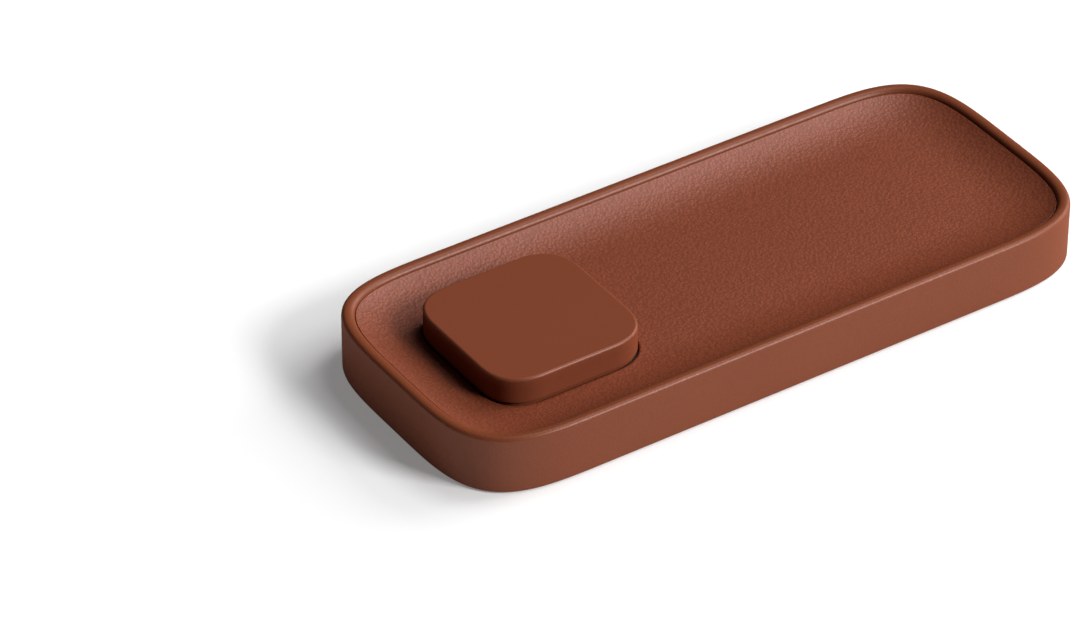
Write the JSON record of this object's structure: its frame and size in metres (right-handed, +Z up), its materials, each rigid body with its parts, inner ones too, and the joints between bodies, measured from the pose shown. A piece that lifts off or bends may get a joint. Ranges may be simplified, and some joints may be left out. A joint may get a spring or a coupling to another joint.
{
  "type": "wireless charging desk tray",
  "caption": "Long low leather-wrapped desk tray with squircle corners, a dished leather floor and a raised square magnetic charging pad near one end.",
  "frame": {"origin": "centre of the footprint, on the surface that the tray stands on", "axes": "+X along the tray, from the pad's end to the far end; +Y from the front to the wall with the inlet; +Z up"},
  "size_m": [0.26, 0.1086, 0.0265],
  "materials": {
    "wrap_leather": "smooth semi-aniline leather, satin",
    "liner_leather": "finely grained leather, satin",
    "soft_touch": "soft-touch coating, matte",
    "dark_plastic": "moulded, matte",
    "light_plastic": "moulded, matte",
    "steel": "plated, satin",
    "magnet": "nickel-plated, satin",
    "aluminium": "rolled, satin",
    "ferrite": "sintered, matte",
    "copper": "enamelled wire, satin",
    "circuit_board": "solder mask, satin",
    "chip": "moulded, matte",
    "capacitor": "ceramic, matte",
    "foot_rubber": "fine-textured, matte"
  },
  "bodies": {
    "root": {"outer_wrap": "wrap_leather", "tray_frame": "dark_plastic", "dish_liner": "liner_leather", "dish_board": "dark_plastic", "pad_cover": "soft_touch", "pad_chassis": "dark_plastic", "heat_spreader": "aluminium", "coil_carrier": "light_plastic", "shield_ring": "steel", "magnet_ring": "magnet", "ferrite_disc": "ferrite", "charging_coil": "copper", "coil_sensor": "chip", "coil_leads": "copper", "main_board": "circuit_board", "coil_connector": "light_plastic", "power_inductor": "ferrite", "driver_chips": "chip", "tuning_capacitors": "capacitor", "usb_c_shell": "steel", "usb_c_tongue": "chip", "port_collar": "dark_plastic", "bottom_cover": "dark_plastic", "ballast_plate": "steel", "foot_pad": "foot_rubber", "cover_screws": "steel", "board_screws": "steel", "pad_screws": "steel"}
  },
  "joints": []
}
